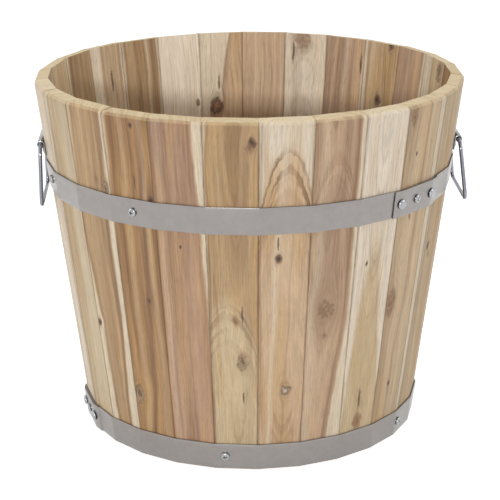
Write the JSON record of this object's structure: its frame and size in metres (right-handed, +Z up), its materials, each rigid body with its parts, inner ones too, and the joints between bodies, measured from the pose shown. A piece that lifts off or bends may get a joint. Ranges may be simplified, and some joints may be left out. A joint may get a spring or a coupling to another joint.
{
  "type": "wooden barrel planter",
  "caption": "Tapered round planter of wooden staves in riveted steel hoops, open at the top, with a drained board base and a hinged wire handle on each side.",
  "frame": {"origin": "on the barrel's axis, in the plane of the staves' feet on which the planter stands", "axes": "+Z up along the barrel's axis, -Y towards the front, the two handles on +X and -X"},
  "size_m": [0.4035, 0.4022, 0.3366],
  "materials": {
    "wood_cream": "pale sapwood, satin",
    "wood_tan": "tan heartwood, satin",
    "wood_rose": "pinkish brown, satin",
    "wood_brown": "brown heartwood, satin",
    "hoop_steel": "galvanized, satin",
    "zinc_steel": "bright zinc plate"
  },
  "bodies": {
    "barrel": {"stave_01": "wood_cream", "stave_02": "wood_rose", "stave_03": "wood_cream", "stave_04": "wood_tan", "stave_05": "wood_tan", "stave_06": "wood_tan", "stave_07": "wood_brown", "stave_08": "wood_tan", "stave_09": "wood_brown", "stave_10": "wood_tan", "stave_11": "wood_tan", "stave_12": "wood_rose", "stave_13": "wood_tan", "stave_14": "wood_rose", "stave_15": "wood_brown", "stave_16": "wood_cream", "stave_17": "wood_brown", "stave_18": "wood_tan", "stave_19": "wood_brown", "stave_20": "wood_tan", "stave_21": "wood_tan", "stave_22": "wood_tan", "stave_23": "wood_brown", "stave_24": "wood_brown", "stave_25": "wood_rose", "stave_26": "wood_tan", "base_board_1": "wood_brown", "base_board_2": "wood_brown", "base_board_3": "wood_brown", "base_board_4": "wood_brown", "upper_hoop": "hoop_steel", "lower_hoop": "hoop_steel", "upper_hoop_rivet_1": "zinc_steel", "upper_hoop_rivet_2": "zinc_steel", "upper_hoop_screw_1": "zinc_steel", "upper_hoop_screw_2": "zinc_steel", "upper_hoop_screw_3": "zinc_steel", "upper_hoop_screw_4": "zinc_steel", "upper_hoop_screw_5": "zinc_steel", "lower_hoop_rivet_1": "zinc_steel", "lower_hoop_rivet_2": "zinc_steel", "lower_hoop_screw_1": "zinc_steel", "lower_hoop_screw_2": "zinc_steel", "lower_hoop_screw_3": "zinc_steel", "lower_hoop_screw_4": "zinc_steel", "lower_hoop_screw_5": "zinc_steel", "left_handle_plate": "zinc_steel", "right_handle_plate": "zinc_steel", "left_plate_screw_1": "zinc_steel", "left_plate_screw_2": "zinc_steel", "right_plate_screw_1": "zinc_steel", "right_plate_screw_2": "zinc_steel"},
    "left_bail": {"left_handle_bail": "zinc_steel"},
    "right_bail": {"right_handle_bail": "zinc_steel"}
  },
  "joints": [
    {"name": "left_bail_hinge", "type": "hinge", "parent": "barrel", "child": "left_bail", "pos_m": [-0.19608, 0, 0.2735], "axis": [0, 1, 0], "range_deg": [-8, 173]},
    {"name": "right_bail_hinge", "type": "hinge", "parent": "barrel", "child": "right_bail", "pos_m": [0.19608, 0, 0.2735], "axis": [0, -1, 0], "range_deg": [-14, 167]}
  ]
}
